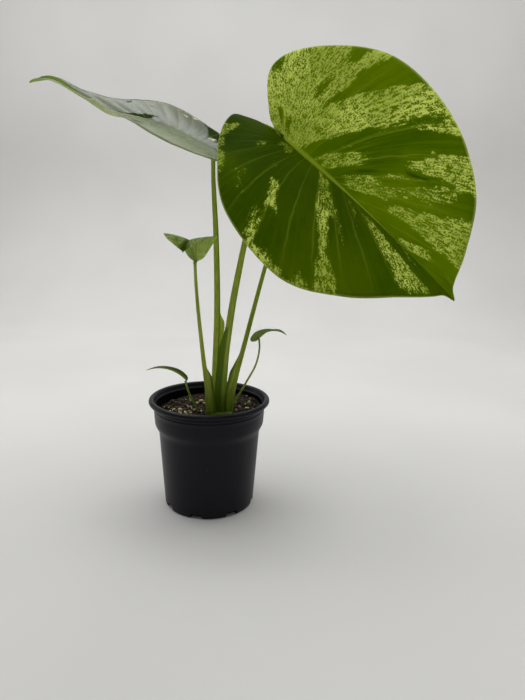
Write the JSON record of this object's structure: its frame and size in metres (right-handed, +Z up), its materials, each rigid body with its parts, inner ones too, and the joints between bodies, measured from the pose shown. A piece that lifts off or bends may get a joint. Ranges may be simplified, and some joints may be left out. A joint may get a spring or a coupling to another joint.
{
  "type": "potted variegated monstera",
  "caption": "Potted variegated monstera: arching heart-shaped speckled leaves on long sheathed stalks, rising from bark and perlite mix in a small round black nursery pot.",
  "frame": {"origin": "centre of the pot's foot, on the surface that the pot stands on", "axes": "+Z up the pot's axis, the plant faces -Y, and its largest leaf leans out towards +X"},
  "size_m": [0.3454, 0.2033, 0.3768],
  "materials": {
    "pot_plastic": "satin blow-moulded nursery pot plastic",
    "soil_mix": "rough damp bark, coir and perlite mix",
    "stem": "smooth green stem with ring scars",
    "stalk": "smooth waxy leaf stalk",
    "leaf": "waxy thin leaf, dark green with fine yellow-green speckles and patches"
  },
  "bodies": {
    "root": {"pot": "pot_plastic", "soil": "soil_mix", "stem_base": "stem", "big_leaf_stalk": "stalk", "big_leaf_blade": "leaf", "left_leaf_stalk": "stalk", "left_leaf_blade": "leaf", "rear_leaf_stalk": "stalk", "rear_leaf_blade": "leaf", "small_leaf_stalk": "stalk", "small_leaf_blade": "leaf", "right_young_leaf_stalk": "stalk", "right_young_leaf_blade": "leaf", "left_young_leaf_stalk": "stalk", "left_young_leaf_blade": "leaf"}
  },
  "joints": []
}
